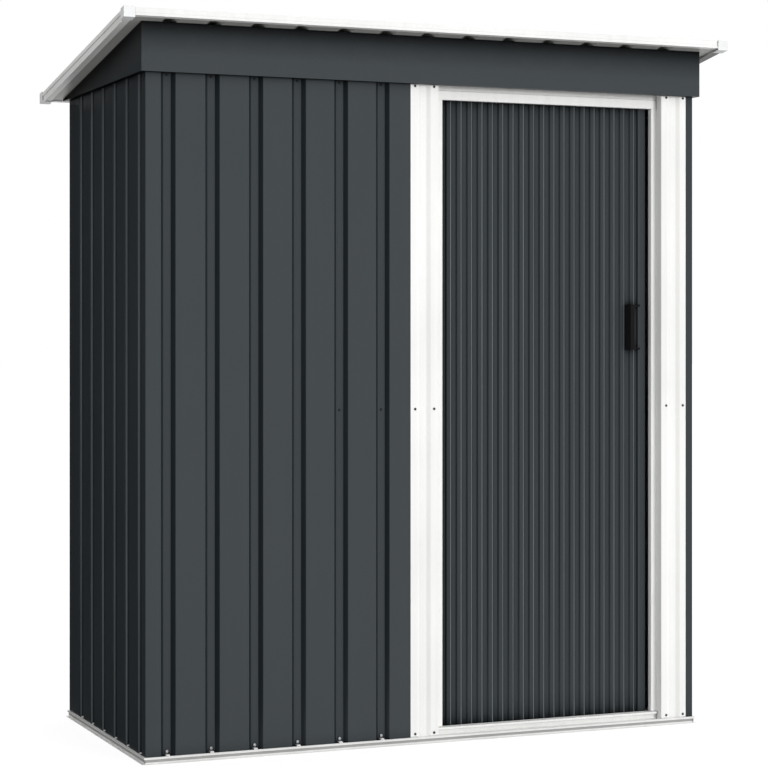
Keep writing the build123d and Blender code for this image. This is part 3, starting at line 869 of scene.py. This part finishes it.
screw_black = (0.02, 0.022, 0.024)
dark_screws = powder_coat("dark_screws", screw_black, roughness=0.4, gloss=0.4)
wall_places = along_walls(head_level)
brace_ends = {"front_wall": (-2, -1), "left_wall": (0, -1), "right_wall": (0, -1), "rear_wall": (0, -1)}
for wall, ends in brace_ends.items():
    spots, outward = grooves[wall]
    wall_places += [(spots[end] + Vector((0, 0, brace_level)), outward) for end in ends]
screwed_on("wall_screws", dark_head, wall_places, dark_screws)

# %% [markdown]
# The white jambs have dark screws on the two flats beside their groove, at the foot, at half height
# and under the fascia. On white they are the first thing that the eye finds on the door frame.

# %% Screws of the jambs
left_insets = (0.0125, 0.0645)
right_insets = (0.0085, 0.0585)
jamb_foot_level = 0.0252
jamb_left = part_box("door_jamb_left")[0].x
jamb_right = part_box("door_jamb_right")[1].x
jamb_flats = [jamb_left + inset for inset in left_insets] + [jamb_right - inset for inset in right_insets]
forward = Vector((0, -1, 0))
jamb_places = []
for flat in jamb_flats:
    for level in (jamb_foot_level, brace_level, head_level):
        jamb_places.append((Vector((flat, front_face, level)), forward))
screwed_on("jamb_screws", dark_head, jamb_places, dark_screws)

# %% [markdown]
# The roof sheets are screwed down through the tops of their ribs, into the fascia, the beam and
# the rear rail. From above these rows are what tells a real roof from a folded card. The rib tops
# and the slope are read from the sheets themselves, and the heads stand square to the slope.

# %% Screws of the roof
edge_slack = 0.0005
front_row_inset, rear_row_inset = 0.016, 0.020
roof_sheets = ("roof_sheet_left", "roof_sheet_middle", "roof_sheet_right")
roof_points = np.concatenate([corner_points(node) for node in roof_sheets])
front_edge = roof_points[:, 1].min()
rear_edge = roof_points[:, 1].max()
at_front = roof_points[np.abs(roof_points[:, 1] - front_edge) < edge_slack]
at_rear = roof_points[np.abs(roof_points[:, 1] - rear_edge) < edge_slack]
crest_front = at_front[:, 2].max()
fall = (crest_front - at_rear[:, 2].max()) / (rear_edge - front_edge)
crests = clusters(at_front[at_front[:, 2] > crest_front - level_slack, 0], groove_gap)
slope_up = Vector((0, fall, 1)).normalized()

beam_low, beam_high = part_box("roof_beam")
front_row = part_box("front_fascia")[0].y + front_row_inset
beam_row = (beam_low.y + beam_high.y) / 2
rear_row = wall_high.y - rear_row_inset
roof_places = []
for row in (front_row, beam_row, rear_row):
    crest_level = crest_front - fall * (row - front_edge)
    roof_places += [(Vector((crest, row, crest_level)), slope_up) for crest in crests]
washer_white = (0.84, 0.84, 0.83)
washer_plastic = moulded("washer_plastic", washer_white, roughness=0.5, grain_size=0.0008)
screwed_on("roof_washers", soft_washer, roof_places, washer_plastic)
screwed_on("roof_screws", zinc_head, on_washers(roof_places), zinc_screws)
print("roof falls", round(fall, 4), "for each metre of depth")

# %% [markdown]
# A small zinc screw holds each moulded cap at the roof's corners. The caps lie on the slope, so the
# rear ones are lower than the front ones by the fall of the roof.

# %% Screws of the corner caps
cap_screw_in, cap_screw_back = 0.022, 0.006
caps_low, caps_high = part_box("roof_corner_caps")
cap_places = []
for x in (caps_low.x + cap_screw_in, caps_high.x - cap_screw_in):
    for y in (caps_low.y + cap_screw_back, caps_high.y - cap_screw_back):
        cap_level = caps_high.z - fall * (y - caps_low.y)
        cap_places.append((Vector((x, y, cap_level)), slope_up))
screwed_on("cap_screws", dark_head, cap_places, zinc_screws)

# %% [markdown]
# Under the left roof trim the sheet is folded into a narrow drip edge, a J that hangs a few
# millimetres below the lip and throws rain clear of the wall. Its section is a short outline that
# runs down the slope from cap to cap, so two copies of the outline and the sides between them do.

# %% Drip edge of the left trim
drip_drop, drip_fold, drip_round, drip_sheet = 0.0060, 0.0026, 0.0006, 0.0010
drip_gap = 0.0005
cap_length = 0.028
trim_low, trim_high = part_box("roof_trim_left")
drip_outline = [
    (0, 0), (0, drip_round - drip_drop), (drip_round, -drip_drop), (drip_fold, -drip_drop),
    (drip_fold, drip_sheet - drip_drop), (drip_sheet, drip_sheet - drip_drop), (drip_sheet, 0),
]
drip_ends = (caps_high.y - cap_length - drip_gap, caps_low.y + cap_length + drip_gap)
drip_sections = []
for y in drip_ends:
    lip = trim_low.z + fall * (trim_high.y - y)
    drip_sections.append([(trim_low.x + across, y, lip + up) for across, up in drip_outline])
drip_points, drip_faces = carried_on(drip_sections)
drip = new_object("trim_drip_edge", drip_points, drip_faces, white_coat)
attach(drip, "shed")
print("drip edge", round(drip_ends[0] - drip_ends[1], 3), "m deep in plan")
